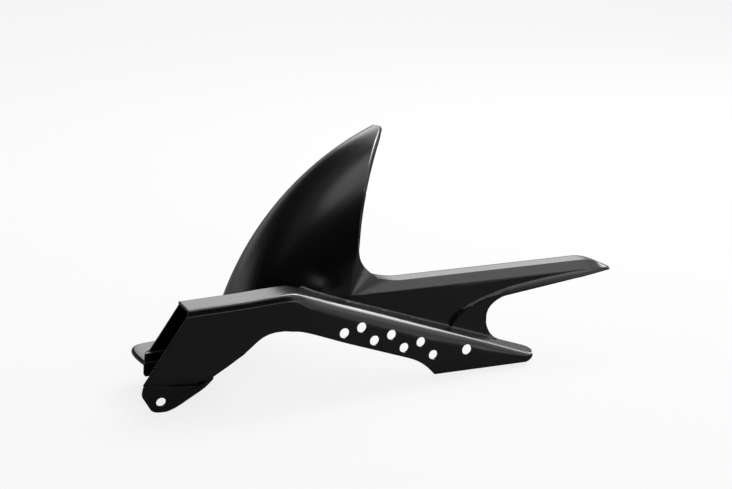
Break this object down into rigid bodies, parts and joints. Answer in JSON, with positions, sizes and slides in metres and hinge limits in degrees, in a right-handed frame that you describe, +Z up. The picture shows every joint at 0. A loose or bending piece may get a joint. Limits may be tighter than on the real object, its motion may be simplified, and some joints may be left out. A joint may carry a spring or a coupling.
{
  "type": "rear hugger mudguard",
  "caption": "One-piece motorbike rear hugger: tyre cover, swingarm wing and vented chain guard with a chute, fixed by a front tab and a tail hole.",
  "frame": {"origin": "centre of the front tab's bolt hole, on the tab's outer face", "axes": "+X to the rear of the bike, +Y to the bike's right (from the chain side towards the wheel), +Z up, as fitted on the swingarm"},
  "size_m": [0.5705, 0.2353, 0.2553],
  "materials": {
    "shell_plastic": "satin black, fine moulded texture"
  },
  "bodies": {
    "root": {"mudguard_shell": "shell_plastic"}
  },
  "joints": []
}
